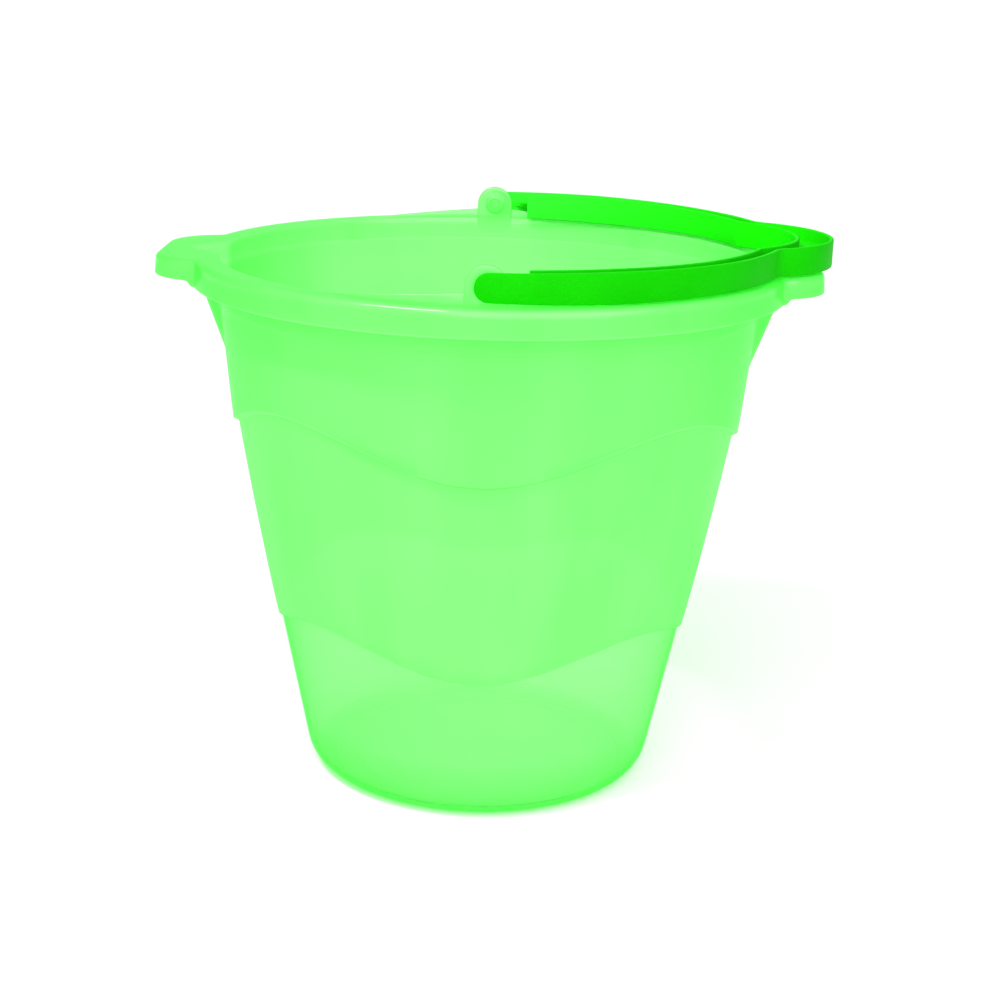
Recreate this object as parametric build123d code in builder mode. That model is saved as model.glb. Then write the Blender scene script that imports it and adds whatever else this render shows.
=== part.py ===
"""Moulded plastic bucket with two pouring lips and a swinging bail handle.

Two mouldings: the bucket, with its floor, stepped wall, rim, lips and ears, and the bail
handle, with the pivot studs that sit in the ears. Millimetres, +Z up. The origin is the
centre of the base on the ground plane. The pouring lips lie along X and the pivot axis along Y.
"""
from build123d import *
import os

os.makedirs("parts", exist_ok=True)

# ---- bucket: heights and wall
RIM_Z = 260.0            # top of the rim above the ground
WALL = 1.8               # wall thickness
FLOOR = 2.0              # floor thickness
FOOT_RECESS = 1.4        # height of the foot ring under the floor
FOOT_RADIUS = 62.0       # inside radius of the foot ring
BASE_CORNER = 15.0       # rounding between base and wall
GATE_RADIUS = 4.0        # moulding gate mark in the middle of the floor's underside
GATE_DROP = 0.6

# ---- bucket: outer face of each wall zone, as (radius, height) points
LOWER_ZONE = [(85.7, 0.0), (108.0, 110.0)]
MIDDLE_ZONE = [(101.4, 70.0), (113.6, 130.0), (125.7, 200.5)]
UPPER_ZONE = [(124.0, 170.0), (133.0, RIM_Z)]
COLLAR_ZONE = [(131.4, 238.0), (133.6, RIM_Z)]

# ---- bucket: the two wavy steps, where the wall above stands proud of the wall below
LOW_WAVE = {"middle_z": 85.0, "swing": 7.8, "radius": 104.0}
HIGH_WAVE = {"middle_z": 187.5, "swing": 10.0, "radius": 125.5}
WAVE_POINTS = 25         # points of the spline across one wave profile
WAVE_OVERRUN = 1.02      # how far the profile runs past the wall

# ---- bucket: rim, skirt and lips
RIM_RADIUS = 143.4       # outer radius of the rim at its top
RIM_DRAFT = 4.0          # degrees that the skirt leans outwards going down
RIM_ROUND = 2.4          # rounding of the rim's outer top edge
FLANGE = 2.0             # thickness of the rim's top
SKIRT = 1.8              # thickness of the skirt
SKIRT_Z = 247.4          # lower edge of the skirt
LIP_SKIRT_Z = 250.2      # lower edge of the skirt under each lip
LIP_SKIRT_X = 142.0      # the skirt steps up between these two distances from the middle
LIP_STEP_X = 138.5
LIP_TIP_X = 159.8        # tip of each lip at its top
LIP_HALF_WIDTH = 41.6
LIP_CORNER = 26.0
LIP_BLEND = 4.0          # rounding where a lip meets the rim
SPOUT_TIP_X = 148.0      # tip of the pouring channel, outside, at the rim's top
SPOUT_LEAN = 0.366       # outward run of the channel per millimetre of height
SPOUT_NOSE = 8.0         # nose radius of the channel, outside
SPOUT_FOOT_Z = 200.0     # the channel's slanted prism starts here, inside the wall
SPOUT_ROOT_X = 100.0
CUT_MARGIN = 6.0         # how far cutting shapes run past what they cut
MOUTH_ROUND = 0.9        # rounding of the mouth's edge
RIB_WIDTH = 8.0          # block ribs between wall and skirt
RIB_Z = 248.6
RIB_ANGLES = (55, 125, 235, 305)

# ---- bucket: ears and fins
PIVOT_Z = 267.7
EAR_INNER_Y = 130.4
EAR_OUTER_Y = 133.0
EAR_RADIUS = 9.3
EAR_FOOT_Z = 249.0
BOSS_RADIUS = 4.7        # boss on the ear's inner face, behind the blind pivot hole
BOSS_HEIGHT = 1.0
STUD_RADIUS = 2.5
HOLE_CLEARANCE = 0.05
HOLE_END_Y = 130.3       # bottom of the pivot hole
FIN_INNER = 131.6
FIN_OUTER = 132.9
FIN_TOP_Z = 264.8        # top of each fin beside its ear
FIN_REACH_X = 78.0       # where each fin runs out to nothing
FIN_SINK = 0.5           # depth of the fin's run-out below the rim's top

# ---- bail handle, lying over the rim towards +X
ARM_CENTRE_X = 6.2       # the arms follow a circle about this point
ARM_OUTER = 135.6
ARM_INNER = 125.6
GRIP_OUTER_X, GRIP_OUTER = 117.3, 48.0
GRIP_INNER_X, GRIP_INNER = 94.8, 52.0
GRIP_BLEND = 11.0        # rounding where the grip meets an arm
NECK_Y = (20.0, 60.0)    # each neck between arm and grip lies between these, off the middle
STRAP_WALL = 2.0
STRAP_WEB = 1.8
STRAP_END = 6.35         # half height of the strap at its round ends
STRAP_END_X = 1.2        # centre of each round end, a little in front of the stud
STRAP_ARM = 6.9          # half height along an arm, at STRAP_ARM_X
STRAP_ARM_X = 55.0
STRAP_GRIP = 6.5         # half height at the grip
WEB_START_X = 10.0       # the web leaves the outer strap here
INNER_START_X = 18.0     # and meets the start of the inner strap here
TIP_Y = 130.5            # inner end of each pivot stud

BEYOND = 200.0           # reaches past everything


def turned(profile, inset, top_z):
    """A solid of revolution inside one wall zone, its outer face moved in by inset."""
    face = [(radius - inset, z) for radius, z in profile]
    with BuildPart() as body:
        with BuildSketch(Plane.XZ):
            with BuildLine():
                if len(face) == 3:
                    ThreePointArc(*face)
                else:
                    Line(*face)
                Polyline(face[-1], (0, face[-1][1]), (0, face[0][1]), face[0])
            make_face()
        revolve(axis=Axis.Z)
        if top_z < face[-1][1]:
            split(bisect_by=Plane.XY.offset(top_z), keep=Keep.BOTTOM)
    return body.part


def below_wave(wave, lift):
    """The space under a step that swings four times round the bucket.

    Its height at angle a is middle_z - swing * cos(4 a). That depends on X alone, so one
    profile in the XZ plane cuts the whole ring.
    """
    points = []
    for i in range(WAVE_POINTS):
        s = WAVE_OVERRUN * (2 * i / (WAVE_POINTS - 1) - 1)
        height = wave["middle_z"] + lift - wave["swing"] * (1 - 8 * s ** 2 + 8 * s ** 4)
        points.append((wave["radius"] * s, height))
    with BuildPart() as space:
        with BuildSketch(Plane.XZ):
            with BuildLine():
                Spline(*points)
                Polyline(points[-1], (points[-1][0], 0), (points[0][0], 0), points[0])
            make_face()
        extrude(amount=BEYOND, both=True)
    return space.part


def wall_solid(inset, lift, floor_z, corner, top_z):
    """The stepped wall as a solid body: the outside with no inset, or the room inside it."""
    (base_radius, base_z), (end_radius, end_z) = LOWER_ZONE
    slope = (end_radius - base_radius) / (end_z - base_z)
    lower_zone = [(base_radius + slope * floor_z, floor_z), (end_radius, end_z)]
    with BuildPart() as lower:
        add(turned(lower_zone, inset, end_z))
        fillet(lower.edges().filter_by(GeomType.CIRCLE).sort_by(Axis.Z)[0], corner)
    with BuildPart() as middle:
        add(turned(MIDDLE_ZONE, inset, BEYOND * 2))
        add(below_wave(LOW_WAVE, lift), mode=Mode.SUBTRACT)
    with BuildPart() as upper:
        add(turned(UPPER_ZONE, inset, top_z))
        add(below_wave(HIGH_WAVE, lift), mode=Mode.SUBTRACT)
    with BuildPart() as body:
        add(lower.part)
        add(middle.part)
        add(upper.part)
        add(spouts(inset, top_z))
    return body.part


def spouts(inset, top_z):
    """The two V-shaped pouring channels as slanted prisms, outside or inside."""
    rise = RIM_Z - SPOUT_FOOT_Z + CUT_MARGIN
    nose = SPOUT_NOSE - inset
    apex = SPOUT_TIP_X - (RIM_Z - SPOUT_FOOT_Z) * SPOUT_LEAN - inset + nose * (2 ** 0.5 - 1)
    half = apex - SPOUT_ROOT_X
    with BuildPart() as channel:
        with BuildSketch(Plane.XY.offset(SPOUT_FOOT_Z)) as section:
            with BuildLine():
                Polyline((SPOUT_ROOT_X, -half), (apex, 0), (SPOUT_ROOT_X, half), close=True)
            make_face()
            fillet(section.vertices().sort_by(Axis.X)[-1], nose)
        extrude(amount=rise, dir=(SPOUT_LEAN, 0, 1))
        split(bisect_by=Plane.XY.offset(top_z), keep=Keep.BOTTOM)
        mirror(about=Plane.YZ)
    return channel.part


def rim_plan(inset):
    """The rim and its two lips, seen from above."""
    with BuildSketch() as plan:
        Circle(RIM_RADIUS)
        RectangleRounded(2 * LIP_TIP_X, 2 * LIP_HALF_WIDTH, LIP_CORNER)
        corners = [v for v in plan.vertices() if abs(v.Y) > LIP_HALF_WIDTH / 2]
        fillet(corners, LIP_BLEND)
        if inset:
            offset(amount=-inset)
    return plan.sketch


def rim_block(inset, top_z, rounding):
    """The rim as a solid block that widens downwards, with its top edge rounded."""
    top = Plane(origin=(0, 0, top_z), x_dir=(1, 0, 0), z_dir=(0, 0, -1))
    with BuildPart() as block:
        with BuildSketch(top):
            add(rim_plan(inset))
        extrude(amount=top_z - SKIRT_Z, taper=-RIM_DRAFT)
        fillet(block.edges().group_by(Axis.Z)[-1], rounding)
    return block.part


def under_lips():
    """What is cut away so that the skirt is shallower under each lip."""
    low = SKIRT_Z - CUT_MARGIN
    with BuildPart() as space:
        with BuildSketch(Plane.XZ):
            with BuildLine():
                Polyline((LIP_STEP_X, low), (LIP_STEP_X, SKIRT_Z), (LIP_SKIRT_X, LIP_SKIRT_Z),
                         (BEYOND, LIP_SKIRT_Z), (BEYOND, low), close=True)
            make_face()
        extrude(amount=BEYOND, both=True)
        mirror(about=Plane.YZ)
    return space.part


def fins():
    """Low fins on the rim, rising towards each ear."""
    with BuildPart() as ring:
        with BuildSketch(Plane.XY.offset(RIM_Z - FLANGE)):
            Circle(FIN_OUTER)
            Circle(FIN_INNER, mode=Mode.SUBTRACT)
        extrude(amount=EAR_RADIUS)
        with BuildSketch(Plane.XZ):
            with BuildLine():
                Polyline((-FIN_REACH_X, RIM_Z - FIN_SINK), (-EAR_RADIUS, FIN_TOP_Z),
                         (EAR_RADIUS, FIN_TOP_Z), (FIN_REACH_X, RIM_Z - FIN_SINK), close=True)
            make_face()
        extrude(amount=BEYOND, both=True, mode=Mode.INTERSECT)
    return ring.part


def bail_plan(centre_x, arm, grip_x, grip, inset, blend):
    """The bail's outline seen from above: two arms on a circle and a bulging grip."""
    with BuildSketch() as plan:
        with Locations((centre_x, 0)):
            Circle(arm)
        with Locations((centre_x / 2 - EAR_RADIUS / 2, 0)):
            Rectangle(centre_x + EAR_RADIUS, 2 * arm)
        with Locations((grip_x, 0)):
            Circle(grip)
        necks = [v for v in plan.vertices() if v.X > grip_x and NECK_Y[0] < abs(v.Y) < NECK_Y[1]]
        fillet(necks, blend)
        if inset:
            offset(amount=-inset)
    return plan.sketch


def side_view():
    """The strap's outline seen along Y, with its round end on the pivot axis."""
    half_heights = [(STRAP_END_X, STRAP_END), (STRAP_ARM_X, STRAP_ARM), (GRIP_OUTER_X, STRAP_GRIP),
                    (BEYOND, STRAP_GRIP)]
    top = [(x, PIVOT_Z + half) for x, half in half_heights]
    bottom = [(x, PIVOT_Z - half) for x, half in half_heights]
    with BuildPart() as slab:
        with BuildSketch(Plane.XZ):
            with BuildLine():
                Spline(*top)
                Line(top[-1], bottom[-1])
                Spline(*bottom)
                Line(bottom[0], top[0])
            make_face()
            with Locations((STRAP_END_X, PIVOT_Z)):
                Circle(STRAP_END)
        extrude(amount=BEYOND, both=True)
    return slab.part


def on_pivot(radius, near_y, far_y, foot_z=PIVOT_Z):
    """Discs on the pivot axis, front and rear, or tombstones where foot_z is lower."""
    with BuildPart() as pair:
        with BuildSketch(Plane.XZ.offset(near_y)):
            with Locations((0, PIVOT_Z)):
                Circle(radius)
            if foot_z < PIVOT_Z:
                with Locations((0, (PIVOT_Z + foot_z) / 2)):
                    Rectangle(2 * radius, PIVOT_Z - foot_z)
        extrude(amount=far_y - near_y)
        mirror(about=Plane.XZ)
    return pair.part


# ---- the bucket
with BuildPart() as bucket:
    # rim, lips and skirt, hollow from below
    add(rim_block(0, RIM_Z, RIM_ROUND))
    add(rim_block(SKIRT, RIM_Z - FLANGE, RIM_ROUND - SKIRT), mode=Mode.SUBTRACT)
    add(under_lips(), mode=Mode.SUBTRACT)

    # block ribs between the skirt and the wall
    rib_length = RIM_RADIUS - SKIRT / 2 - COLLAR_ZONE[0][0]
    with BuildSketch(Plane.XY.offset(RIB_Z)):
        for angle in RIB_ANGLES:
            with PolarLocations(COLLAR_ZONE[0][0] + rib_length / 2, 1, angle):
                Rectangle(rib_length, RIB_WIDTH)
    extrude(amount=RIM_Z - FLANGE / 2 - RIB_Z)

    # stepped wall, then the room inside it
    add(wall_solid(0, 0, 0, BASE_CORNER, RIM_Z - FLANGE / 2))
    add(turned(COLLAR_ZONE, 0, RIM_Z - FLANGE / 2))
    room_floor = FOOT_RECESS + FLOOR
    add(wall_solid(WALL, WALL, room_floor, BASE_CORNER - WALL, RIM_Z), mode=Mode.SUBTRACT)
    rim_top = bucket.faces().filter_by(Plane.XY).sort_by(Axis.Z)[-1]
    fillet(rim_top.inner_wires()[0].edges(), MOUTH_ROUND)

    # recess inside the foot ring, with the moulding gate
    with BuildSketch(Plane.XY):
        Circle(FOOT_RADIUS)
    extrude(amount=FOOT_RECESS, mode=Mode.SUBTRACT)
    with BuildSketch(Plane.XY.offset(FOOT_RECESS - GATE_DROP)):
        Circle(GATE_RADIUS)
    extrude(amount=GATE_DROP + FLOOR / 2)

    # ears with a boss behind each blind pivot hole, and the fins that rise to them
    add(fins())
    add(on_pivot(EAR_RADIUS, EAR_INNER_Y, EAR_OUTER_Y, EAR_FOOT_Z))
    add(on_pivot(BOSS_RADIUS, EAR_INNER_Y - BOSS_HEIGHT, EAR_OUTER_Y))
    hole_radius = STUD_RADIUS + HOLE_CLEARANCE
    add(on_pivot(hole_radius, HOLE_END_Y, RIM_RADIUS), mode=Mode.SUBTRACT)

bucket.part.label = "bucket"
export_step(bucket.part, "parts/bucket.step")

# ---- the bail handle
with BuildPart() as bail_handle:
    outer = (ARM_CENTRE_X, ARM_OUTER, GRIP_OUTER_X, GRIP_OUTER)
    inner = (ARM_CENTRE_X, ARM_INNER, GRIP_INNER_X, GRIP_INNER)

    # outer strap and inner strap
    with BuildSketch(Plane.XY.offset(PIVOT_Z - 2 * STRAP_ARM)):
        add(bail_plan(*outer, 0, GRIP_BLEND))
        add(bail_plan(*outer, STRAP_WALL, GRIP_BLEND), mode=Mode.SUBTRACT)
        add(bail_plan(*inner, -STRAP_WALL, GRIP_BLEND))
        add(bail_plan(*inner, 0, GRIP_BLEND), mode=Mode.SUBTRACT)
    extrude(amount=4 * STRAP_ARM)

    # the web between them, half way up
    with BuildSketch(Plane.XY.offset(PIVOT_Z - STRAP_WEB / 2)):
        add(bail_plan(*outer, STRAP_WALL / 2, GRIP_BLEND))
        add(bail_plan(*inner, -STRAP_WALL / 2, GRIP_BLEND), mode=Mode.SUBTRACT)
    extrude(amount=STRAP_WEB)

    # only the outer strap reaches the pivots
    strap_face = ARM_OUTER - STRAP_WALL
    inner_face = ARM_INNER + STRAP_WALL
    with BuildSketch(Plane.XY.offset(PIVOT_Z - 2 * STRAP_ARM)):
        with BuildLine():
            Polyline((-BEYOND, -strap_face), (WEB_START_X, -strap_face), (INNER_START_X, -inner_face),
                     (INNER_START_X, inner_face), (WEB_START_X, strap_face), (-BEYOND, strap_face),
                     close=True)
        make_face()
    extrude(amount=4 * STRAP_ARM, mode=Mode.SUBTRACT)
    add(side_view(), mode=Mode.INTERSECT)

    # pivot studs
    add(on_pivot(STUD_RADIUS, TIP_Y, strap_face + STRAP_WALL / 2))

bail_handle.part.label = "bail_handle"
export_step(bail_handle.part, "parts/bail_handle.step")
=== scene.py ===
"""Looks for a moulded plastic bucket with a swinging bail handle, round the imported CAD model.

The bucket and the bail are rebuilt as finely divided meshes, with every moulded edge rounded, in
the CAD's own dimensions (millimetres here, metres in the scene). The pouring lips lie along X and
the bail's pivot axis along Y.
"""
from math import acos, asin, atan2, cos, hypot, pi, radians, sin, sqrt, tan

import bmesh
import bpy
import numpy as np
from mathutils import Matrix, Vector


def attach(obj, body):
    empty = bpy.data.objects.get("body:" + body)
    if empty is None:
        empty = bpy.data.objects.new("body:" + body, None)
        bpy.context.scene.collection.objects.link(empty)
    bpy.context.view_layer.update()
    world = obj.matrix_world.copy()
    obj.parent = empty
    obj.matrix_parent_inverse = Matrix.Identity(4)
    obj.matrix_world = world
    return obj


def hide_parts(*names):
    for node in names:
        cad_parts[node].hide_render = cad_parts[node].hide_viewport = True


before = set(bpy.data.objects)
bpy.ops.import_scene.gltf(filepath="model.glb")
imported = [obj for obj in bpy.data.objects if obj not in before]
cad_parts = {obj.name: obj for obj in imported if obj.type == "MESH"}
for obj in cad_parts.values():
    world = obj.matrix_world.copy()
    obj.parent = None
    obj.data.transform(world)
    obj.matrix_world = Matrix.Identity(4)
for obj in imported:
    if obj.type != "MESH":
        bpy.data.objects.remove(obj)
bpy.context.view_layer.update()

MM = 0.001

# ---- bucket, as in the CAD model
RIM_Z = 260.0
WALL = 1.8
FLOOR_Z = 3.4
FOOT_RECESS = 1.4
FOOT_RADIUS = 62.0        # inside radius of the foot ring
BASE_CORNER = 15.0
GATE_RADIUS = 4.0
GATE_Z = 0.8              # underside of the moulding gate mark
GATE_EDGE = 0.3
# the outer face of each zone of the wall, as (radius, height) points
LOWER_ZONE = ((85.7, 0.0), (108.0, 110.0))
MIDDLE_ZONE = ((101.4, 70.0), (113.6, 130.0), (125.7, 200.5))
UPPER_ZONE = ((124.0, 170.0), (133.0, 260.0))
COLLAR_ZONE = ((131.4, 238.0), (133.6, 260.0))
# the two wavy steps, as (middle height, swing), and how many times they swing round the bucket
LOW_WAVE = (85.0, 7.8)
HIGH_WAVE = (187.5, 10.0)
WAVE_COUNT = 4
LEDGE_ABOVE, LEDGE_BELOW = 0.6, 1.2     # how far each step's ledge reaches above and below it
RIM_RADIUS = 143.4
RIM_SLOPE = tan(radians(4))             # outward run of the skirt per millimetre down
RIM_ROUND = 2.4
FLANGE = 2.0
SKIRT = 1.8
SKIRT_Z = 247.4
LIP_SKIRT_Z = 250.2
LIP_STEP = (138.5, 142.0)
LIP_TIP_X = 159.8
LIP_HALF_WIDTH = 41.6
LIP_CORNER = 26.0
LIP_BLEND = 3.0
SPOUT_TIP_X = 148.0
SPOUT_LEAN = 0.366
SPOUT_NOSE = 8.0
SPOUT_BLEND = 2.0
SPOUT_ROOT_Z = 202.0
MOUTH_ROUND = 0.9
EDGE = 0.45               # rounding of the skirt's and the foot ring's edges
CHAMFER = 0.3             # where a rounding's middle point lies, as a share of its radius
RIB_ANGLES = (55, 125, 235, 305)
RIB_Z = 248.6
RIB_NEAR, RIB_FAR = 131.9, 142.9
RIB_HALF_WIDTH = 4.0
RIB_EDGE = 0.5

# ---- ears and fins
PIVOT_Z = 267.7
EAR_INNER_Y, EAR_OUTER_Y = 130.4, 133.0
EAR_RADIUS = 9.3
EAR_FOOT_Z = 249.0
BOSS_RADIUS, BOSS_HEIGHT = 4.7, 1.0
BOSS_EDGE = 0.35
BOSS_FOOT = 0.35          # width of the fillet between boss and ear
BOSS_GROOVE = ((1.2, 0), (2.1, 0), (2.3, 0.35), (2.7, 0.35), (2.9, 0))    # (radius, depth)
EAR_EDGE = 0.6
HOLE_EDGE = 0.2
HOLE_RADIUS, HOLE_END_Y = 2.55, 130.3
FIN_INNER, FIN_OUTER = 131.6, 132.9
FIN_EDGE = 0.4
FIN_FOOT = 1.4            # how far the fin is sunk into the rim
FIN_RUN_OUT = 0.3         # depth of its low end under the rim's top
FIN_TOP_Z = 264.8
FIN_REACH_X = 78.0

# ---- bail
ARM_CENTRE_X, ARM_OUTER, ARM_INNER = 6.2, 135.6, 125.6
GRIP_OUTER_X, GRIP_OUTER = 117.3, 48.0
GRIP_INNER_X, GRIP_INNER = 94.8, 52.0
GRIP_BLEND = 11.0
STRAP_WALL = 2.0
STRAP_WEB = 1.8
STRAP_END, STRAP_END_X = 6.35, 1.2
# half the strap's height at each x
STRAP_HEIGHTS = ((1.2, 6.35), (28.0, 6.68), (55.0, 6.9), (86.0, 6.74), (117.3, 6.5), (200.0, 6.5))
WEB_START_X, INNER_START_X = 10.0, 18.0
STUD_RADIUS, TIP_Y = 2.5, 130.5
STUD_EDGE = 0.3
STRAP_EDGE = 0.5

# share of the light that passes each face of the wall unscattered
THROUGH, THROUGH_FOOT, THROUGH_SPOUT = 0.36, 0.70, 0.24

# the bucket's rings all have one point at each of these angles
COLUMNS = 720
TINY = 1e-9
theta = np.arange(COLUMNS) * 2 * pi / COLUMNS
along, across = np.abs(np.cos(theta)), np.abs(np.sin(theta))


# ---------------------------------------------------------------- mesh helpers
def mesh_object(name, points, faces):
    """An object from points in millimetres, its faces turned outwards and shaded smooth."""
    mesh = bpy.data.meshes.new(name)
    mesh.from_pydata([tuple(p) for p in np.asarray(points) * MM], [], faces)
    work = bmesh.new()
    work.from_mesh(mesh)
    bmesh.ops.recalc_face_normals(work, faces=work.faces)
    if work.calc_volume(signed=True) < 0:
        bmesh.ops.reverse_faces(work, faces=work.faces)
    work.to_mesh(mesh)
    work.free()
    mesh.shade_smooth()
    made = bpy.data.objects.new(name, mesh)
    bpy.context.scene.collection.objects.link(made)
    return made


def ring_object(name, rings, first, last):
    """Rings of points joined one to the next. first and last close the ends: each is the centre
    point of a fan of triangles, or "cap" for one face."""
    rings = [np.asarray(r, float) for r in rings]
    count = len(rings[0])
    points = list(np.concatenate(rings))
    faces = []
    for a in range(len(rings) - 1):
        b = a + 1
        for j in range(count):
            k = (j + 1) % count
            faces.append((a * count + j, a * count + k, b * count + k, b * count + j))
    for end, at in ((first, 0), (last, len(rings) - 1)):
        ring = [at * count + j for j in range(count)]
        if isinstance(end, str):
            faces.append(tuple(ring if at else ring[::-1]))
        else:
            points.append(np.asarray(end, float))
            tip = len(points) - 1
            faces += [(tip, ring[j], ring[(j + 1) % count]) for j in range(count)]
    return mesh_object(name, points, faces)


def joined(name, objects):
    """One object from several, as they stand."""
    work = bmesh.new()
    for o in objects:
        work.from_mesh(o.data)
        bpy.data.objects.remove(o)
    mesh = bpy.data.meshes.new(name)
    work.to_mesh(mesh)
    work.free()
    made = bpy.data.objects.new(name, mesh)
    bpy.context.scene.collection.objects.link(made)
    return made


def united(name, base, *others, sharp=50):
    """base with the others welded to it, so that no face is left inside."""
    for o in others:
        cut = base.modifiers.new("weld", "BOOLEAN")
        cut.operation = "UNION"
        cut.solver = "EXACT"
        cut.object = o
    graph = bpy.context.evaluated_depsgraph_get()
    mesh = bpy.data.meshes.new_from_object(base.evaluated_get(graph))
    mesh.name = name
    for o in (base, *others):
        bpy.data.objects.remove(o)
    mesh.shade_smooth()
    mesh.set_sharp_from_angle(angle=radians(sharp))
    made = bpy.data.objects.new(name, mesh)
    bpy.context.scene.collection.objects.link(made)
    return made


def eased(t):
    """0 to 1 with a soft start and a soft end."""
    return t * t * (3 - 2 * t)


def smooth_max(a, b, blend):
    """The larger of two values, rounded over where they are within blend of each other."""
    share = np.maximum(blend - np.abs(a - b), 0) / blend
    return np.maximum(a, b) + share * share * blend / 4


# ---------------------------------------------------------------- bucket
def on_line(zone, z):
    """Radius at height z on a straight zone."""
    (r0, z0), (r1, z1) = zone
    return r0 + (r1 - r0) * (z - z0) / (z1 - z0)


def circle_through(a, b, c):
    """Centre and radius of the circle through three (radius, height) points."""
    (ax, ay), (bx, by), (cx, cy) = a, b, c
    d = 2 * (ax * (by - cy) + bx * (cy - ay) + cx * (ay - by))
    a2, b2, c2 = ax * ax + ay * ay, bx * bx + by * by, cx * cx + cy * cy
    ux = (a2 * (by - cy) + b2 * (cy - ay) + c2 * (ay - by)) / d
    uy = (a2 * (cx - bx) + b2 * (ax - cx) + c2 * (bx - ax)) / d
    return ux, uy, hypot(ax - ux, ay - uy)


MIDDLE_CENTRE = circle_through(*MIDDLE_ZONE)


def middle_radius(z):
    """Radius at height z on the middle zone, which bulges a little."""
    x, y, r = MIDDLE_CENTRE
    side = 1 if MIDDLE_ZONE[0][0] > x else -1
    return x + side * np.sqrt(r * r - (z - y) ** 2)


def channel(z, inset):
    """How far out the two V-shaped pouring channels reach at height z, at each angle."""
    nose = SPOUT_NOSE - inset
    centre = SPOUT_TIP_X - (RIM_Z - z) * SPOUT_LEAN - inset - nose
    side = (centre + nose * sqrt(2)) / (along + across)
    under = nose ** 2 - (centre * across) ** 2
    tip = centre * along + np.sqrt(np.maximum(under, 0))
    reach = np.where((under > 0) & (tip * across < nose / sqrt(2)), tip, side)
    return np.where(across < along, reach, 0)


def upper_radius(z, inset, collar=False):
    """The upper zone with the channels, from under the rim down to where they run out."""
    plain = on_line(COLLAR_ZONE if collar else UPPER_ZONE, z) - inset
    if np.max(z) < SPOUT_ROOT_Z:
        return plain
    return smooth_max(plain, channel(z, inset), SPOUT_BLEND)


def wave(step):
    """Height of a wavy step at each angle."""
    middle, swing = step
    return middle - swing * np.cos(WAVE_COUNT * theta)


def wall_ring(radius, z):
    """A ring about the bucket's axis."""
    radius, z = radius + 0 * theta, z + 0 * theta
    return np.stack([radius * np.cos(theta), radius * np.sin(theta), z], 1)


def corner_arc(radius_at_floor, floor_z, corner, steps):
    """The rounding between a flat floor and the lower wall, from the floor up."""
    (r0, z0), (r1, z1) = LOWER_ZONE
    lean = atan2(r1 - r0, z1 - z0)
    reach = corner * tan((pi / 2 - lean) / 2)
    centre = radius_at_floor - reach
    turns = np.linspace(-pi / 2, -lean, steps)
    return [(centre + corner * cos(a), floor_z + corner + corner * sin(a)) for a in turns]


def wall_rings(inset, lift, floor_z, corner):
    """Rings of the stepped wall from the floor up to where the channels begin."""
    base = on_line(LOWER_ZONE, floor_z) - inset
    arc = corner_arc(base, floor_z, corner, 12)
    rings = [wall_ring(r, z) for r, z in arc]
    low, high = wave(LOW_WAVE) + lift, wave(HIGH_WAVE) + lift
    lower = lambda z: on_line(LOWER_ZONE, z) - inset
    middle = lambda z: middle_radius(z) - inset
    upper = lambda z: on_line(UPPER_ZONE, z) - inset
    start = arc[-1][1] + 0 * theta

    def run(radius, a, b, steps):
        for t in np.linspace(0, 1, steps + 1)[1:]:
            z = a + (b - a) * t
            rings.append(wall_ring(radius(z), z))

    def ledge(inner, outer, at):
        for t in np.linspace(0, 1, 8)[1:-1]:
            z = at - LEDGE_BELOW + (LEDGE_ABOVE + LEDGE_BELOW) * t
            share = eased(t)
            rings.append(wall_ring(inner(z) * (1 - share) + outer(z) * share, z))

    run(lower, start, low - LEDGE_BELOW, 10)
    ledge(lower, middle, low)
    run(middle, low + LEDGE_ABOVE, high - LEDGE_BELOW, 16)
    ledge(middle, upper, high)
    run(upper, high + LEDGE_ABOVE, SPOUT_ROOT_Z + 0 * theta, 3)
    return rings


def lip_reach():
    """How far out the two lips reach at each angle: a rectangle with round corners."""
    end, side = LIP_TIP_X - LIP_CORNER, LIP_HALF_WIDTH - LIP_CORNER
    toward = along * end + across * side
    inside = LIP_CORNER ** 2 - end ** 2 - side ** 2 + toward ** 2
    corner = toward + np.sqrt(np.maximum(inside, 0))
    on_corner = (corner * along > end) & (corner * across > side) & (inside > 0)
    flat = np.minimum(LIP_TIP_X / np.maximum(along, TINY),
                      LIP_HALF_WIDTH / np.maximum(across, TINY))
    return np.where(on_corner, corner, flat)


rim_reach = smooth_max(RIM_RADIUS + 0 * theta, lip_reach(), LIP_BLEND)
rim_plan = np.stack([rim_reach * np.cos(theta), rim_reach * np.sin(theta)], 1)
tangent = np.roll(rim_plan, -1, 0) - np.roll(rim_plan, 1, 0)
rim_out = np.stack([tangent[:, 1], -tangent[:, 0]], 1) / np.linalg.norm(tangent, axis=1)[:, None]


def rim_ring(offset, z):
    """The rim's outline moved outwards, leaning out as it goes down."""
    z = z + 0 * theta
    out = offset + (RIM_Z - z) * RIM_SLOPE
    return np.concatenate([rim_plan + rim_out * out[:, None], z[:, None]], 1)


def between(a, b, steps):
    """Evenly spaced rings between two others."""
    return [a + (b - a) * t for t in np.linspace(0, 1, steps + 1)[1:-1]]


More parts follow.
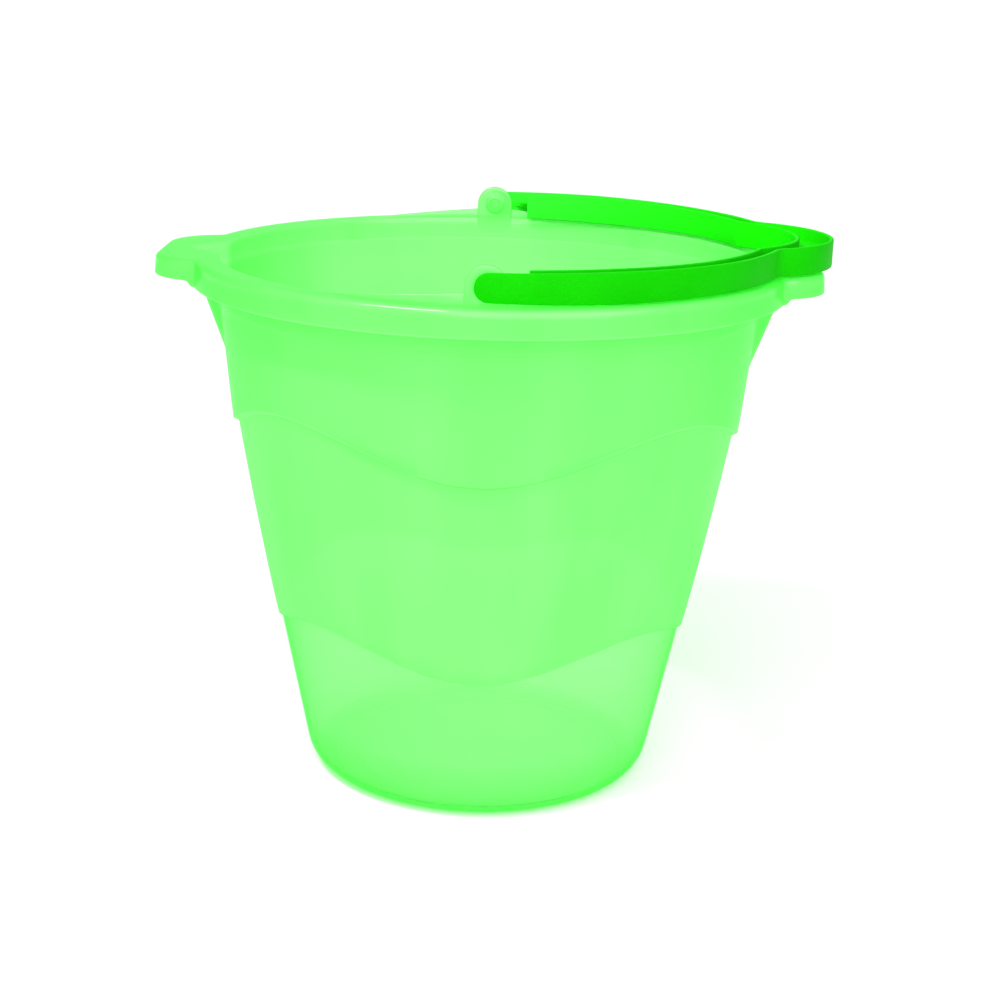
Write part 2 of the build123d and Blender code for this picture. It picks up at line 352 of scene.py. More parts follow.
def bucket_shell():
    """The wall, floor, rim and lips as one closed shell, from the floor's middle round the rim
    to the middle of the underside."""
    inside = wall_rings(WALL, WALL, FLOOR_Z, BASE_CORNER - WALL)
    outside = wall_rings(0, 0, 0, BASE_CORNER)
    rings = [wall_ring(r, FLOOR_Z) for r in (3, 12, 24, 36, 48, 60)] + inside

    # inner wall up to the mouth, its rounding and the rim's flat top
    for z in np.linspace(SPOUT_ROOT_Z, RIM_Z - MOUTH_ROUND, 30)[1:]:
        rings.append(wall_ring(upper_radius(z, WALL), z))
    mouth = upper_radius(RIM_Z, WALL)
    for a in np.linspace(0, pi / 2, 5)[1:]:
        rings.append(wall_ring(mouth + MOUTH_ROUND * (1 - cos(a)),
                               RIM_Z - MOUTH_ROUND * (1 - sin(a))))
    edge = rim_ring(-RIM_ROUND, RIM_Z)
    rings += between(rings[-1], edge, 5) + [edge]

    # the rim's rounding, the skirt outside, its lower edge, and the skirt inside
    for a in np.linspace(0, pi / 2, 8)[1:]:
        rings.append(rim_ring(-RIM_ROUND * (1 - sin(a)), RIM_Z - RIM_ROUND * (1 - cos(a))))
    stepped = eased(np.clip((np.abs(rim_plan[:, 0]) - LIP_STEP[0])
                            / (LIP_STEP[1] - LIP_STEP[0]), 0, 1))
    low = SKIRT_Z + (LIP_SKIRT_Z - SKIRT_Z) * stepped
    for t in np.linspace(0, 1, 7)[1:]:
        rings.append(rim_ring(0, RIM_Z - RIM_ROUND + (low + EDGE - RIM_Z + RIM_ROUND) * t))
    for a in np.linspace(0, pi / 2, 4)[1:]:
        rings.append(rim_ring(-EDGE * (1 - cos(a)), low + EDGE * (1 - sin(a))))
    for a in np.linspace(pi / 2, 0, 4):
        rings.append(rim_ring(-SKIRT + EDGE * (1 - cos(a)), low + EDGE * (1 - sin(a))))
    under = RIM_Z - FLANGE
    for t in np.linspace(0, 1, 6)[1:]:
        rings.append(rim_ring(-SKIRT, low + EDGE + (under - EDGE - low - EDGE) * t))
    rings.append(rim_ring(-SKIRT - EDGE * CHAMFER, under - EDGE * CHAMFER))
    rings.append(rim_ring(-SKIRT - EDGE, under))

    # the flange's underside, the collar with its small step, and the outer wall down
    collar = upper_radius(under, 0, True)
    inner_edge = wall_ring(collar + EDGE, under)
    rings += between(rings[-1], inner_edge, 3) + [inner_edge]
    rings.append(wall_ring(collar + EDGE * CHAMFER, under - EDGE * CHAMFER))
    collar_z = COLLAR_ZONE[0][1]
    for z in np.linspace(under - EDGE, collar_z + EDGE, 12):
        rings.append(wall_ring(upper_radius(z, 0, True), z))
    for t in np.linspace(0, 1, 6)[1:]:
        z = collar_z + EDGE * (1 - 2 * t)
        share = eased(t)
        rings.append(wall_ring(upper_radius(z, 0, True) * (1 - share)
                               + upper_radius(z, 0) * share, z))
    for z in np.linspace(collar_z - EDGE, SPOUT_ROOT_Z, 22)[1:-1]:
        rings.append(wall_ring(upper_radius(z, 0), z))
    rings += outside[::-1]

    # the foot ring, the recess inside it and the gate mark
    foot = outside[0][0][0]
    rings += [wall_ring(foot + (FOOT_RADIUS + EDGE - foot) * t, 0) for t in (0.33, 0.66, 1)]
    for a in np.linspace(0, pi / 2, 4)[1:]:
        rings.append(wall_ring(FOOT_RADIUS + EDGE * (1 - sin(a)), EDGE * (1 - cos(a))))
    rings.append(wall_ring(FOOT_RADIUS, FOOT_RECESS - EDGE))
    rings.append(wall_ring(FOOT_RADIUS - EDGE, FOOT_RECESS))
    rings += [wall_ring(r, FOOT_RECESS) for r in (50, 35, 20, 10, GATE_RADIUS + GATE_EDGE)]
    rings.append(wall_ring(GATE_RADIUS, FOOT_RECESS - GATE_EDGE))
    rings.append(wall_ring(GATE_RADIUS - 0.25, GATE_Z))
    return ring_object("shell", rings, first=(0, 0, FLOOR_Z), last=(0, 0, GATE_Z))


def ear(side):
    """A tombstone plate with a raised boss on its inner face and a blind pivot hole outside."""
    corner = atan2(PIVOT_Z - EAR_FOOT_Z, EAR_RADIUS)
    turns = np.sort(np.append(np.arange(96) * 2 * pi / 96, [pi + corner, 2 * pi - corner]))
    c, s = np.cos(turns), np.sin(turns)
    low = np.minimum(EAR_RADIUS / np.maximum(np.abs(c), TINY),
                     (PIVOT_Z - EAR_FOOT_Z) / np.maximum(np.abs(s), TINY))
    reach = np.where(s < 0, low, EAR_RADIUS)

    def ring(radius, y):
        return np.stack([radius * c, side * (y + 0 * c), PIVOT_Z + radius * s], 1)

    soft, boss_y = BOSS_EDGE, EAR_INNER_Y - BOSS_HEIGHT
    rings = [ring(r, boss_y + dip) for r, dip in BOSS_GROOVE]
    rings += [ring(BOSS_RADIUS - soft, boss_y),
              ring(BOSS_RADIUS - soft * CHAMFER, boss_y + soft * CHAMFER),
              ring(BOSS_RADIUS, boss_y + soft),
              ring(BOSS_RADIUS + 0.1, EAR_INNER_Y - 0.1),
              ring(BOSS_RADIUS + BOSS_FOOT, EAR_INNER_Y),
              ring((BOSS_RADIUS + reach) / 2, EAR_INNER_Y)]
    for a in np.linspace(0, pi / 2, 4):
        rings.append(ring(reach - EAR_EDGE * (1 - sin(a)), EAR_INNER_Y + EAR_EDGE * (1 - cos(a))))
    for a in np.linspace(pi / 2, 0, 4):
        rings.append(ring(reach - EAR_EDGE * (1 - sin(a)), EAR_OUTER_Y - EAR_EDGE * (1 - cos(a))))
    rings += [ring((BOSS_RADIUS + reach) / 2, EAR_OUTER_Y),
              ring(HOLE_RADIUS + HOLE_EDGE, EAR_OUTER_Y),
              ring(HOLE_RADIUS, EAR_OUTER_Y - HOLE_EDGE),
              ring(HOLE_RADIUS, HOLE_END_Y + HOLE_EDGE),
              ring(HOLE_RADIUS - HOLE_EDGE, HOLE_END_Y)]
    return ring_object("ear", rings, first=(0, side * boss_y, PIVOT_Z),
                       last=(0, side * HOLE_END_Y, PIVOT_Z))


def fin(side):
    """A low fin on the rim, rising towards the ear from both sides."""
    reach = asin(FIN_REACH_X / FIN_OUTER)
    rings = []
    for turn in np.linspace(-reach, reach, 121):
        x = FIN_OUTER * abs(sin(turn))
        t = (FIN_REACH_X - x) / (FIN_REACH_X - EAR_RADIUS)
        top = RIM_Z - FIN_RUN_OUT + (FIN_TOP_Z - RIM_Z + FIN_RUN_OUT) * min(t, 1)
        foot, near = RIM_Z - FIN_FOOT, FIN_EDGE * CHAMFER
        section = [(FIN_INNER, foot), (FIN_INNER, top - FIN_EDGE),
                   (FIN_INNER + near, top - near), (FIN_INNER + FIN_EDGE, top),
                   (FIN_OUTER - FIN_EDGE, top), (FIN_OUTER - near, top - near),
                   (FIN_OUTER, top - FIN_EDGE), (FIN_OUTER, foot)]
        rings.append([(r * sin(turn), side * r * cos(turn), z) for r, z in section])
    return ring_object("fin", rings, first="cap", last="cap")


def rib(angle):
    """A block between the wall and the skirt."""
    a = radians(angle)
    out, flat = Vector((cos(a), sin(a), 0)), Vector((-sin(a), cos(a), 0))
    half, soft = RIB_HALF_WIDTH, RIB_EDGE
    rings = []
    for d, z in ((half - soft, RIB_Z), (half - soft * CHAMFER, RIB_Z + soft * CHAMFER),
                 (half, RIB_Z + soft), (half, RIM_Z - FLANGE / 2)):
        corners = (RIB_NEAR, -d), (RIB_FAR, -d), (RIB_FAR, d), (RIB_NEAR, d)
        rings.append([out * r + flat * w + Vector((0, 0, z)) for r, w in corners])
    return ring_object("rib", rings, first="cap", last="cap")


def make_bucket():
    """The bucket as one welded mesh."""
    parts = joined("fittings", [ear(1), ear(-1)] + [rib(a) for a in RIB_ANGLES])
    rims = joined("fins", [fin(1), fin(-1)])
    return united("bucket_moulding", bucket_shell(), parts, rims)


# ---------------------------------------------------------------- bail
def arc(centre_x, centre_y, radius, start, stop, steps):
    """Points along an arc, seen from above."""
    turns = np.linspace(start, stop, steps)
    return [(centre_x + radius * cos(a), centre_y + radius * sin(a)) for a in turns]


def bail_line(arm, grip_x, grip, offset, start_x):
    """The bail's line seen from above, from the front end round the grip to the rear end.

    The arm and the grip are arcs of the radii arm and grip, and a third arc blends them.
    """
    arm, grip, blend = arm + offset, grip + offset, GRIP_BLEND - offset
    span = grip_x - ARM_CENTRE_X
    to_arm, to_grip = arm + blend, grip + blend
    turn = acos((span ** 2 + to_arm ** 2 - to_grip ** 2) / (2 * span * to_arm))
    neck = (ARM_CENTRE_X + to_arm * cos(turn), to_arm * sin(turn))
    on_grip = atan2(neck[1], neck[0] - grip_x)
    start = pi / 2 if start_x <= ARM_CENTRE_X else acos((start_x - ARM_CENTRE_X) / arm)
    half = arc(ARM_CENTRE_X, 0, arm, start, turn, 90)
    half += arc(neck[0], neck[1], blend, turn + pi, on_grip + 2 * pi - pi, 16)[1:]
    half += arc(grip_x, 0, grip, on_grip, 0, 40)[1:]
    half = np.array(half)
    return np.concatenate([half * (1, -1), half[-2::-1]])


def strap_half(x):
    """Half the strap's height at x, round at its ends."""
    if x < STRAP_END_X:
        return sqrt(max(STRAP_END ** 2 - (x - STRAP_END_X) ** 2, 0))
    xs, hs = zip(*STRAP_HEIGHTS)
    i = min(max(np.searchsorted(xs, x) - 1, 0), len(xs) - 2)
    t = (x - xs[i]) / (xs[i + 1] - xs[i])
    return hs[i] + (hs[i + 1] - hs[i]) * t


def strap(name, inner_line, outer_line):
    """An upright strap between two matched lines, its long edges rounded."""
    corners = (0, -1), (1, -1), (1, 1), (0, 1)    # inner or outer face, lower or upper edge
    rise, fall = np.linspace(0, pi / 2, 4), np.linspace(pi / 2, 0, 4)
    rings = []
    for a, b in zip(inner_line, outer_line):
        half = strap_half((a[0] + b[0]) / 2)
        r = min(STRAP_EDGE, half * 0.45 + 1e-3)    # less where the round ends run out
        across_strap = b - a
        width = np.linalg.norm(across_strap)
        section = []
        for outer, edge in corners:
            for turn in rise if (outer == 1) != (edge == 1) else fall:
                side, height = r * (1 - sin(turn)), half - r * (1 - cos(turn))
                at = width - side if outer else side
                section.append((*(a + across_strap * at / width), PIVOT_Z + edge * height))
        rings.append(section)
    return ring_object(name, rings, first="cap", last="cap")


def with_ends(line):
    """The outer strap's line carried on straight to its round ends."""
    stations = STRAP_END_X - STRAP_END * np.sin(np.linspace(0, pi / 2, 18)[::-1])
    stations = np.append(stations[stations < STRAP_END_X - 1e-6], [STRAP_END_X, 2.8, 4.5])
    y = line[0][1]
    front = np.array([(x, y) for x in stations])
    rear = np.array([(x, -y) for x in stations[::-1]])
    return np.concatenate([front, line, rear])


def stud(side):
    """The pivot stud, which turns in the ear's blind hole."""
    soft = STUD_EDGE
    profile = [(STUD_RADIUS - soft, TIP_Y), (STUD_RADIUS - soft * CHAMFER, TIP_Y + soft * CHAMFER),
               (STUD_RADIUS, TIP_Y + soft), (STUD_RADIUS, ARM_OUTER - STRAP_WALL / 2)]
    turns = np.arange(64) * 2 * pi / 64
    rings = [[(r * cos(a), side * y, PIVOT_Z + r * sin(a)) for a in turns] for r, y in profile]
    return ring_object("stud", rings, first=(0, side * TIP_Y, PIVOT_Z), last="cap")


def make_bail():
    """The bail as one welded mesh: outer strap, inner strap, the web between them and the studs."""
    outer = strap("outer_strap",
                  with_ends(bail_line(ARM_OUTER, GRIP_OUTER_X, GRIP_OUTER, -STRAP_WALL, 0)),
                  with_ends(bail_line(ARM_OUTER, GRIP_OUTER_X, GRIP_OUTER, 0, 0)))
    inner = strap("inner_strap",
                  bail_line(ARM_INNER, GRIP_INNER_X, GRIP_INNER, 0, INNER_START_X),
                  bail_line(ARM_INNER, GRIP_INNER_X, GRIP_INNER, STRAP_WALL, INNER_START_X))
    far = bail_line(ARM_OUTER, GRIP_OUTER_X, GRIP_OUTER, -STRAP_WALL / 2, WEB_START_X)
    near = bail_line(ARM_INNER, GRIP_INNER_X, GRIP_INNER, STRAP_WALL / 2, INNER_START_X)
    rings = []
    for a, b in zip(near, far):
        rings.append([(*a, PIVOT_Z - STRAP_WEB / 2), (*b, PIVOT_Z - STRAP_WEB / 2),
                      (*b, PIVOT_Z + STRAP_WEB / 2), (*a, PIVOT_Z + STRAP_WEB / 2)])
    web = ring_object("web", rings, first="cap", last="cap")
    return united("bail_moulding", outer, inner, web, joined("studs", [stud(1), stud(-1)]))


# ---------------------------------------------------------------- materials
# where the zones of the bucket's plastic begin and end, in millimetres
WAVE_SOFT = 1                 # half width of the change of tint at the high step
SPOUT_ZONE = (88, 125)        # distance along X over which the spouts' painted shade gets deeper and their see-through share changes
LOW_EDGE = (-1, 0.4)          # height about the low step over which the foot begins
FOOT_TINT_AND_LIGHT_ZONE = (2, 32)           # height over which the foot gets its pale tint, partly its own and partly painted light
GLASSY_ZONE = (0, 5)          # height over which the foot gets see-through
BASE_RISE = 6                 # height above the floor over which the floor's tint ends
BASE_ZONE = (70, 80)          # radius over which the floor's tint gets weaker
LEDGE_HIGHLIGHT_BAND = (-0.8, 1.2)      # height about the high step of its painted highlight
LEDGE_HIGHLIGHT_ZONE = (180, 197)       # height over which that painted highlight gets stronger
COLLAR_LIGHT_BAND = (249, 260)      # height of the band of painted light inside the mouth
SKIRT_RADIUS = (137, 138)     # radius over which the skirt begins
HEM_TOP = 0.7                 # height of the painted highlight along the skirt's lower edge
RIM_TOP = (5, 3)              # depth below the rim's top over which its polish begins

# the plastic's tints, each as (strength, colour), later ones over earlier ones; some are painted
# shade or painted light, as noted
MILKY, MILKY_PALE = (0.345, 1.0, 0.310), (0.380, 1.0, 0.345)
UPPER_TINT = (0.5, (0.300, 1.0, 0.270))
FLOW_TINT = (0.7, (0.270, 1.0, 0.240))
# painted shade: the outside of the spouts is a deeper green
SPOUT_SHADE_TINT = (0.85, (0.140, 1.0, 0.122))
# the foot's pale tint: partly the thin wall's own tint, partly painted light
FOOT_TINT_AND_LIGHT = (1.0, (0.630, 1.0, 0.590))
BASE_TINT = (0.9, (0.145, 1.0, 0.128))
# painted highlight along the high step
LEDGE_HIGHLIGHT_TINT = (0.35, (0.620, 1.0, 0.590))
SKIRT_TINT = (0.25, (0.165, 1.0, 0.145))
# painted light in a band inside the mouth
COLLAR_LIGHT_TINT = (0.35, (0.520, 1.0, 0.490))
# painted highlight along the skirt's lower edge
HEM_HIGHLIGHT_TINT = (0.10, (0.750, 1.0, 0.730))
SPOUT_SHADE_INSIDE, BASE_LEAST, LEDGE_HIGHLIGHT_LEAST = 0.4, 0.15, 0.2    # what is left of each where it is weak
CLEAR, CLEAR_FOOT = (0.80, 1.0, 0.79), (0.90, 1.0, 0.89)
MILKY_SHARE = 0.5             # share of the scattered light that goes on into the wall
ABSORBED, ABSORBED_DENSITY = (0.2, 1.0, 0.2, 1), 150.0

# the scales of the noise in it, and the height of its ripple in metres
CLOUD_SCALE, FLOW_SCALE, PEEL_SCALE = 9, 26, 420
FLOW_STRETCH = (1, 1, 0.04)   # the flow marks run up the wall
PEEL_STRENGTH, PEEL_HEIGHT = 0.12, 0.0003

# the bail's tints, its painted light on the faces inside the bail, and the point that those faces
# are turned to
BAIL_GREEN, BAIL_PALE, BAIL_GRAIN = (0.004, 0.37, 0.0), (0.006, 0.42, 0.001), (0.003, 0.33, 0.0)
BAIL_PAINTED_LIGHT, BAIL_PAINTED_LIGHT_GRIP = (0.027, 0.64, 0.023), (0.010, 0.66, 0.002)
BAIL_CENTRE = (60.0, 0.0, PIVOT_Z + 70.0)
BAIL_PAINTED_LIGHT_ZONE = (15, 130)   # x over which the painted light changes from the first tint to the second
BAIL_CLOUD_SCALE, BAIL_GRAIN_SCALE = 30, 900
BAIL_GRAIN_STRENGTH, BAIL_GRAIN_HEIGHT = 0.15, 0.0002
IOR = 1.49


def material(name):
    """A material with one shader, and its nodes, links and shader."""
    made = bpy.data.materials.new(name)
    made.use_nodes = True
    nodes, links = made.node_tree.nodes, made.node_tree.links
    nodes.clear()
    out = nodes.new("ShaderNodeOutputMaterial")
    shader = nodes.new("ShaderNodeBsdfPrincipled")
    links.new(shader.outputs["BSDF"], out.inputs["Surface"])
    return made, nodes, links, shader


def texture_coords(nodes, links, scale):
    """The object's own coordinates in metres, scaled."""
    where = nodes.new("ShaderNodeTexCoord")
    stretch = nodes.new("ShaderNodeMapping")
    stretch.inputs["Scale"].default_value = scale
    links.new(where.outputs["Object"], stretch.inputs["Vector"])
    return stretch.outputs["Vector"]


def noise(nodes, links, vector, scale, detail=2.0, rough=0.5):
    made = nodes.new("ShaderNodeTexNoise")
    made.inputs["Scale"].default_value = scale
    made.inputs["Detail"].default_value = detail
    made.inputs["Roughness"].default_value = rough
    links.new(vector, made.inputs["Vector"])
    return made.outputs["Fac"]


def ranged(nodes, links, value, low, high, from_low=0.3, from_high=0.7):
    """low to high as a value goes from from_low to from_high, and clamped beyond them."""
    made = nodes.new("ShaderNodeMapRange")
    for socket, number in (("From Min", from_low), ("From Max", from_high),
                           ("To Min", low), ("To Max", high)):
        made.inputs[socket].default_value = number
    links.new(value, made.inputs["Value"])
    return made.outputs["Result"]


def mixed(nodes, links, factor, a, b):
    """A colour from a to b. Each is a colour or a socket."""
    made = nodes.new("ShaderNodeMix")
    made.data_type = "RGBA"
    for socket, colour in (("A", a), ("B", b)):
        target = [s for s in made.inputs if s.name == socket and s.type == "RGBA"][0]
        if isinstance(colour, tuple):
            target.default_value = (*colour, 1)
        else:
            links.new(colour, target)
    links.new(factor, made.inputs["Factor"])
    return [s for s in made.outputs if s.type == "RGBA"][0]


def bumped(nodes, links, shader, height, strength, distance):
    """Fine relief on a shader."""
    made = nodes.new("ShaderNodeBump")
    made.inputs["Strength"].default_value = strength
    made.inputs["Distance"].default_value = distance
    links.new(height, made.inputs["Height"])
    links.new(made.outputs["Normal"], shader.inputs["Normal"])


def maths(nodes, links, operation, *values):
    """One step of arithmetic on numbers and sockets."""
    made = nodes.new("ShaderNodeMath")
    made.operation = operation
    for socket, value in zip(made.inputs, values):
        if isinstance(value, (int, float)):
            socket.default_value = value
        else:
            links.new(value, socket)
    return made.outputs["Value"]


def above_wave(nodes, links, split, step):
    """How far a point of the wall is above a wavy step, in metres."""
    middle, swing = step
    angle = maths(nodes, links, "ARCTAN2", split.outputs["Y"], split.outputs["X"])
    waves = maths(nodes, links, "COSINE", maths(nodes, links, "MULTIPLY", angle, WAVE_COUNT))
    lifted = maths(nodes, links, "MULTIPLY_ADD", waves, swing * MM, split.outputs["Z"])
    return maths(nodes, links, "SUBTRACT", lifted, middle * MM)


def band(nodes, links, value, low, high, soft):
    """1 between two limits and 0 outside them, in metres."""
    rise = ranged(nodes, links, value, 0, 1, low - soft, low + soft)
    fall = ranged(nodes, links, value, 1, 0, high - soft, high + soft)
    return maths(nodes, links, "MULTIPLY", rise, fall)


def facing(nodes, links, centre):
    """1 where a surface faces a point, -1 where it faces away from it."""
    where = nodes.new("ShaderNodeTexCoord")
    away = nodes.new("ShaderNodeVectorMath")
    away.operation = "SUBTRACT"
    away.inputs[1].default_value = centre
    links.new(where.outputs["Object"], away.inputs[0])
    unit = nodes.new("ShaderNodeVectorMath")
    unit.operation = "NORMALIZE"
    links.new(away.outputs["Vector"], unit.inputs[0])
    turned = nodes.new("ShaderNodeVectorMath")
    turned.operation = "DOT_PRODUCT"
    links.new(unit.outputs["Vector"], turned.inputs[0])
    links.new(where.outputs["Normal"], turned.inputs[1])
    return maths(nodes, links, "MULTIPLY", turned.outputs["Value"], -1.0)


def bucket_plastic():
    """Natural polypropylene with a green tint: milky, a little see-through, softly glossy. Its tint
    has painted shade on the spouts and painted light on the foot, the high step, the hem and
    inside the mouth.
    """
    made, nodes, links, shader = material("bucket_plastic_look")
    plain = texture_coords(nodes, links, (1, 1, 1))
    streaked = texture_coords(nodes, links, FLOW_STRETCH)
    cloud = ranged(nodes, links, noise(nodes, links, plain, CLOUD_SCALE, 3), 0, 1)
    flow = ranged(nodes, links, noise(nodes, links, streaked, FLOW_SCALE, 2), 0, 1)
    split = nodes.new("ShaderNodeSeparateXYZ")
    links.new(plain, split.inputs["Vector"])
    height = split.outputs["Z"]
    over_high = above_wave(nodes, links, split, HIGH_WAVE)
    over_low = above_wave(nodes, links, split, LOW_WAVE)
    sideways = maths(nodes, links, "ABSOLUTE", split.outputs["X"])
    squares = [maths(nodes, links, "MULTIPLY", split.outputs[axis], split.outputs[axis])
               for axis in "XY"]
    outwards = maths(nodes, links, "POWER", maths(nodes, links, "ADD", *squares), 0.5)

    def fades(value, low, high, zone):
        return ranged(nodes, links, value, low, high, zone[0] * MM, zone[1] * MM)

    def both(a, b):
        return maths(nodes, links, "MULTIPLY", a, b)

    def bands(value, low, high, soft):
        return band(nodes, links, value, low * MM, high * MM, soft * MM)

    # the masks: the wall above the high step, the spouts with their painted shade outside, the foot
    # below the low step with its pale tint and painted light, the darker green near the floor, the
    # painted highlight along the high step, the skirt, the painted highlight along its hem, the
    # band of painted light inside the mouth, and the rim's polished top
    upper = fades(over_high, 0, 1, (-WAVE_SOFT, WAVE_SOFT))
    spouts = both(upper, fades(sideways, 0, 1, SPOUT_ZONE))
    inside = ranged(nodes, links, facing(nodes, links, (0, 0, RIM_Z * MM)), 0, 1, -0.2, 0.2)
    # painted shade on the outside of the spouts, weaker on their inside
    spouts_shade = both(spouts, ranged(nodes, links, inside, 1, SPOUT_SHADE_INSIDE, 0, 1))
    # painted light in a band inside the mouth
    collar = both(inside, bands(height, *COLLAR_LIGHT_BAND, 1.5))
    below = fades(over_low, 1, 0, LOW_EDGE)
    # the foot's pale tint, partly its own and partly painted light
    foot = both(below, fades(height, 0, 1, FOOT_TINT_AND_LIGHT_ZONE))
    glassy = both(below, fades(height, 0, 1, GLASSY_ZONE))
    base = both(fades(height, 1, 0, (FLOOR_Z, FLOOR_Z + BASE_RISE)),
                fades(outwards, 1, BASE_LEAST, BASE_ZONE))
    # painted highlight along the high step, stronger where the step is higher
    ledge = both(bands(over_high, *LEDGE_HIGHLIGHT_BAND, 0.4),
                 fades(height, LEDGE_HIGHLIGHT_LEAST, 1, LEDGE_HIGHLIGHT_ZONE))
    on_skirt = fades(outwards, 0, 1, SKIRT_RADIUS)
    # painted highlight along the skirt's lower edge
    hem_highlight = both(bands(height, SKIRT_Z - 1, SKIRT_Z + HEM_TOP, 0.3), on_skirt)
    rim = fades(height, 0, 1, (RIM_Z - RIM_TOP[0], RIM_Z - RIM_TOP[1]))
    skirt = both(bands(height, SKIRT_Z + HEM_TOP, RIM_Z - RIM_TOP[1], 0.5), on_skirt)

    tint = mixed(nodes, links, cloud, MILKY, MILKY_PALE)
    for mask, (strength, colour) in ((upper, UPPER_TINT), (flow, FLOW_TINT),
                                     (spouts_shade, SPOUT_SHADE_TINT), (foot, FOOT_TINT_AND_LIGHT),
                                     (base, BASE_TINT), (ledge, LEDGE_HIGHLIGHT_TINT),
                                     (skirt, SKIRT_TINT), (collar, COLLAR_LIGHT_TINT),
                                     (hem_highlight, HEM_HIGHLIGHT_TINT)):
        tint = mixed(nodes, links, ranged(nodes, links, mask, 0, strength, 0, 1), tint, colour)
    links.new(tint, shader.inputs["Base Color"])
    links.new(ranged(nodes, links, cloud, 0.16, 0.26, 0, 1), shader.inputs["Roughness"])
    peel = noise(nodes, links, plain, PEEL_SCALE, 2)
    bumped(nodes, links, shader, peel, PEEL_STRENGTH, PEEL_HEIGHT)
    shader.inputs["IOR"].default_value = IOR
    shader.inputs["Specular IOR Level"].default_value = 0.4
    links.new(ranged(nodes, links, rim, 0.15, 1, 0, 1), shader.inputs["Coat Weight"])
    shader.inputs["Coat Roughness"].default_value = 0.20
    shader.inputs["Coat IOR"].default_value = 1.8

    # light goes on into the wall as well as back from it, and some passes straight through
    milky = nodes.new("ShaderNodeBsdfTranslucent")
    links.new(tint, milky.inputs["Color"])
    body = nodes.new("ShaderNodeMixShader")
    body.inputs["Fac"].default_value = MILKY_SHARE
    links.new(shader.outputs["BSDF"], body.inputs[1])
    links.new(milky.outputs["BSDF"], body.inputs[2])
    clear = nodes.new("ShaderNodeBsdfTransparent")
    links.new(mixed(nodes, links, glassy, CLEAR, CLEAR_FOOT), clear.inputs["Color"])
    through = maths(nodes, links, "MULTIPLY_ADD", glassy, THROUGH_FOOT - THROUGH, THROUGH)
    through = maths(nodes, links, "MULTIPLY_ADD", spouts, THROUGH_SPOUT - THROUGH, through)
    look = nodes.new("ShaderNodeMixShader")
    links.new(through, look.inputs["Fac"])
    links.new(body.outputs["Shader"], look.inputs[1])
    links.new(clear.outputs["BSDF"], look.inputs[2])
    out = nodes["Material Output"]
    links.new(look.outputs["Shader"], out.inputs["Surface"])
    depth = nodes.new("ShaderNodeVolumeAbsorption")
    depth.inputs["Color"].default_value = ABSORBED
    depth.inputs["Density"].default_value = ABSORBED_DENSITY
    links.new(depth.outputs["Volume"], out.inputs["Volume"])
    return made


def handle_plastic():
    """Green moulded plastic with a faint grain, and painted light on the faces inside the bail."""
    made, nodes, links, shader = material("handle_plastic_look")
    plain = texture_coords(nodes, links, (1, 1, 1))
    cloud = ranged(nodes, links, noise(nodes, links, plain, BAIL_CLOUD_SCALE, 3), 0, 1)
    grain = noise(nodes, links, plain, BAIL_GRAIN_SCALE, 2)
    tint = mixed(nodes, links, cloud, BAIL_GREEN, BAIL_PALE)
    tint = mixed(nodes, links, ranged(nodes, links, grain, 0, 0.5), tint, BAIL_GRAIN)
    inside = facing(nodes, links, [v * MM for v in BAIL_CENTRE])
    split = nodes.new("ShaderNodeSeparateXYZ")
    links.new(plain, split.inputs["Vector"])
    start, end = BAIL_PAINTED_LIGHT_ZONE
    forward = ranged(nodes, links, split.outputs["X"], 0, 1, start * MM, end * MM)
    # painted light on the faces turned towards the inside of the bail
    painted_light = mixed(nodes, links, forward, BAIL_PAINTED_LIGHT, BAIL_PAINTED_LIGHT_GRIP)
    tint = mixed(nodes, links, ranged(nodes, links, inside, 0, 1, 0.2, 0.7), tint, painted_light)
    links.new(tint, shader.inputs["Base Color"])
    links.new(ranged(nodes, links, cloud, 0.40, 0.52, 0, 1), shader.inputs["Roughness"])
    bumped(nodes, links, shader, grain, BAIL_GRAIN_STRENGTH, BAIL_GRAIN_HEIGHT)
    shader.inputs["IOR"].default_value = IOR
    shader.inputs["Specular IOR Level"].default_value = 0.02
    return made


# ---------------------------------------------------------------- pieces
bucket = make_bucket()
bucket.data.materials.clear()
bucket.data.materials.append(bucket_plastic())
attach(bucket, "bucket")
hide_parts("bucket")

bail = make_bail()
bail.data.materials.clear()
bail.data.materials.append(handle_plastic())
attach(bail, "bail")
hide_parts("bail_handle")


# ---------------------------------------------------------------- floor, light and camera
CAMERA_PLACE = (0.010257, -0.905049, 0.404224)
CAMERA_ANGLES = (-0.227, 16.513, 1.734)       # yaw, pitch and roll in degrees
CAMERA_LENS = 67.61
LAMP_TARGET = (0, 0, 0.15)


def make_floor(size=30.0):
    """A plain pale floor. size is half its width in metres."""
    mesh = bpy.data.meshes.new("floor")
    work = bmesh.new()
    bmesh.ops.create_grid(work, x_segments=4, y_segments=4, size=size)
    work.to_mesh(mesh)
    work.free()
    floor = bpy.data.objects.new("floor", mesh)
    bpy.context.scene.collection.objects.link(floor)
    made, nodes, links, shader = material("pale_floor")
    plain = texture_coords(nodes, links, (1, 1, 1))
    cloud = noise(nodes, links, plain, 3, 2)
    links.new(mixed(nodes, links, cloud, (0.94, 0.94, 0.94), (0.95, 0.95, 0.95)),
              shader.inputs["Base Color"])
    shader.inputs["Roughness"].default_value = 0.9
    shader.inputs["Specular IOR Level"].default_value = 0.1
    mesh.materials.append(made)


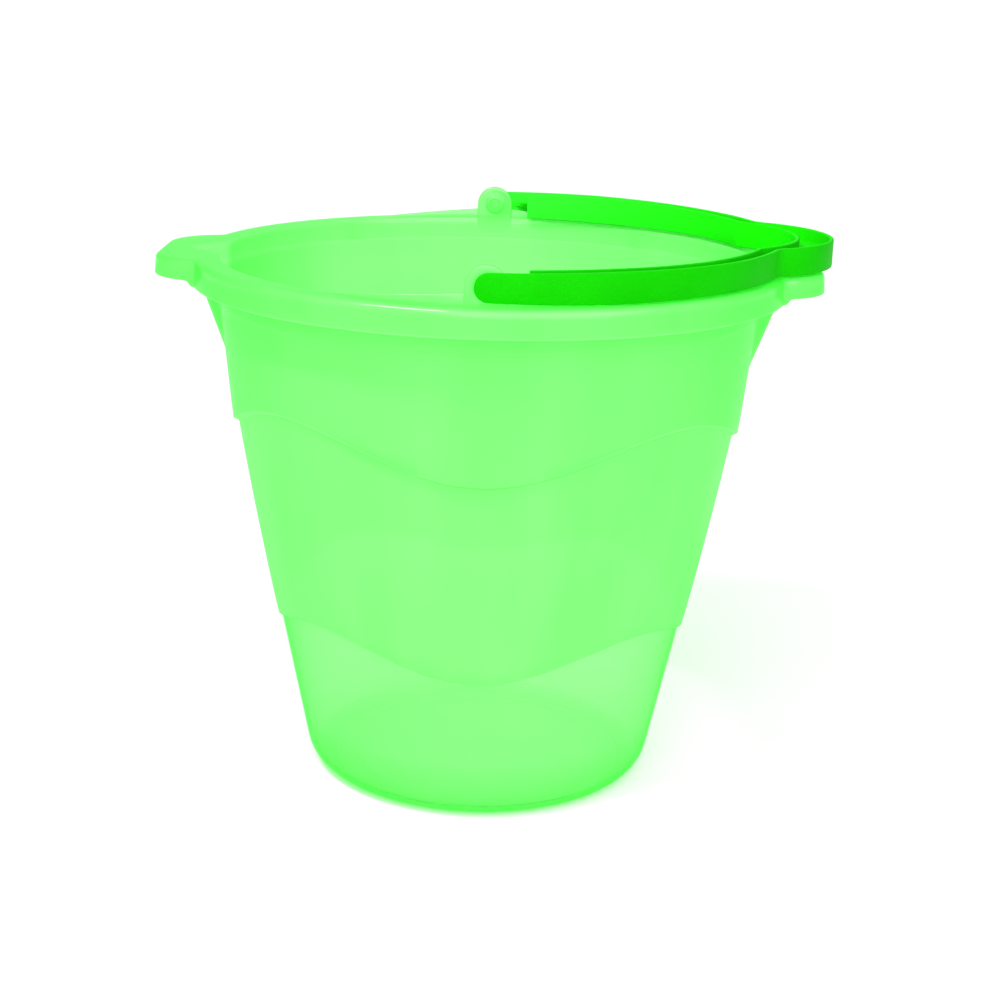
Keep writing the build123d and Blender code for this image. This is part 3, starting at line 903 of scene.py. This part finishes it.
def softbox(name, place, width, height, power):
    """An oblong lamp that faces the middle of the bucket."""
    lamp = bpy.data.lights.new(name, "AREA")
    lamp.shape = "RECTANGLE"
    lamp.size = width
    lamp.size_y = height
    lamp.energy = power
    made = bpy.data.objects.new(name, lamp)
    made.location = place
    made.rotation_euler = (Vector(LAMP_TARGET) - Vector(place)).to_track_quat("-Z", "Y").to_euler()
    bpy.context.scene.collection.objects.link(made)


def make_sun(place, strength, spread):
    """Broad, even light from one side, as from a wall of softboxes."""
    lamp = bpy.data.lights.new("sun", "SUN")
    lamp.energy = strength
    lamp.angle = radians(spread)
    made = bpy.data.objects.new("sun", lamp)
    made.rotation_euler = (-Vector(place)).to_track_quat("-Z", "Y").to_euler()
    bpy.context.scene.collection.objects.link(made)


def make_world(seen, lit):
    """A white studio: seen is how bright it looks, and lit how much light it gives."""
    world = bpy.data.worlds.new("studio")
    world.use_nodes = True
    nodes, links = world.node_tree.nodes, world.node_tree.links
    sky = nodes["Background"]
    sky.inputs["Color"].default_value = (1, 1, 1, 1)
    path = nodes.new("ShaderNodeLightPath")
    strength = ranged(nodes, links, path.outputs["Is Camera Ray"], lit, seen, 0, 1)
    links.new(strength, sky.inputs["Strength"])
    bpy.context.scene.world = world


def make_camera():
    """The photograph's viewpoint."""
    yaw, pitch, roll = (radians(angle) for angle in CAMERA_ANGLES)
    ahead = Vector((sin(yaw) * cos(pitch), cos(yaw) * cos(pitch), -sin(pitch)))
    right = Vector((cos(yaw), -sin(yaw), 0))
    up = right.cross(ahead)
    x_axis = right * cos(roll) + up * sin(roll)
    y_axis = up * cos(roll) - right * sin(roll)
    data = bpy.data.cameras.new("camera")
    data.sensor_fit = "HORIZONTAL"
    data.sensor_width = 36.0
    data.lens = CAMERA_LENS
    data.clip_end = 100.0
    camera = bpy.data.objects.new("camera", data)
    turn = Matrix((x_axis, y_axis, -ahead)).transposed().to_4x4()
    camera.matrix_world = Matrix.Translation(CAMERA_PLACE) @ turn
    bpy.context.scene.collection.objects.link(camera)
    bpy.context.scene.camera = camera


make_floor()
make_world(seen=1.15, lit=0.5)
make_sun(place=(0.32, -1.0, 0.62), strength=3.75, spread=80)
softbox("key", place=(-0.48, -0.55, 1.25), width=0.50, height=0.06, power=11.5)
make_camera()
bpy.context.scene.view_settings.view_transform = "Standard"
bpy.context.scene.cycles.transparent_max_bounces = 24
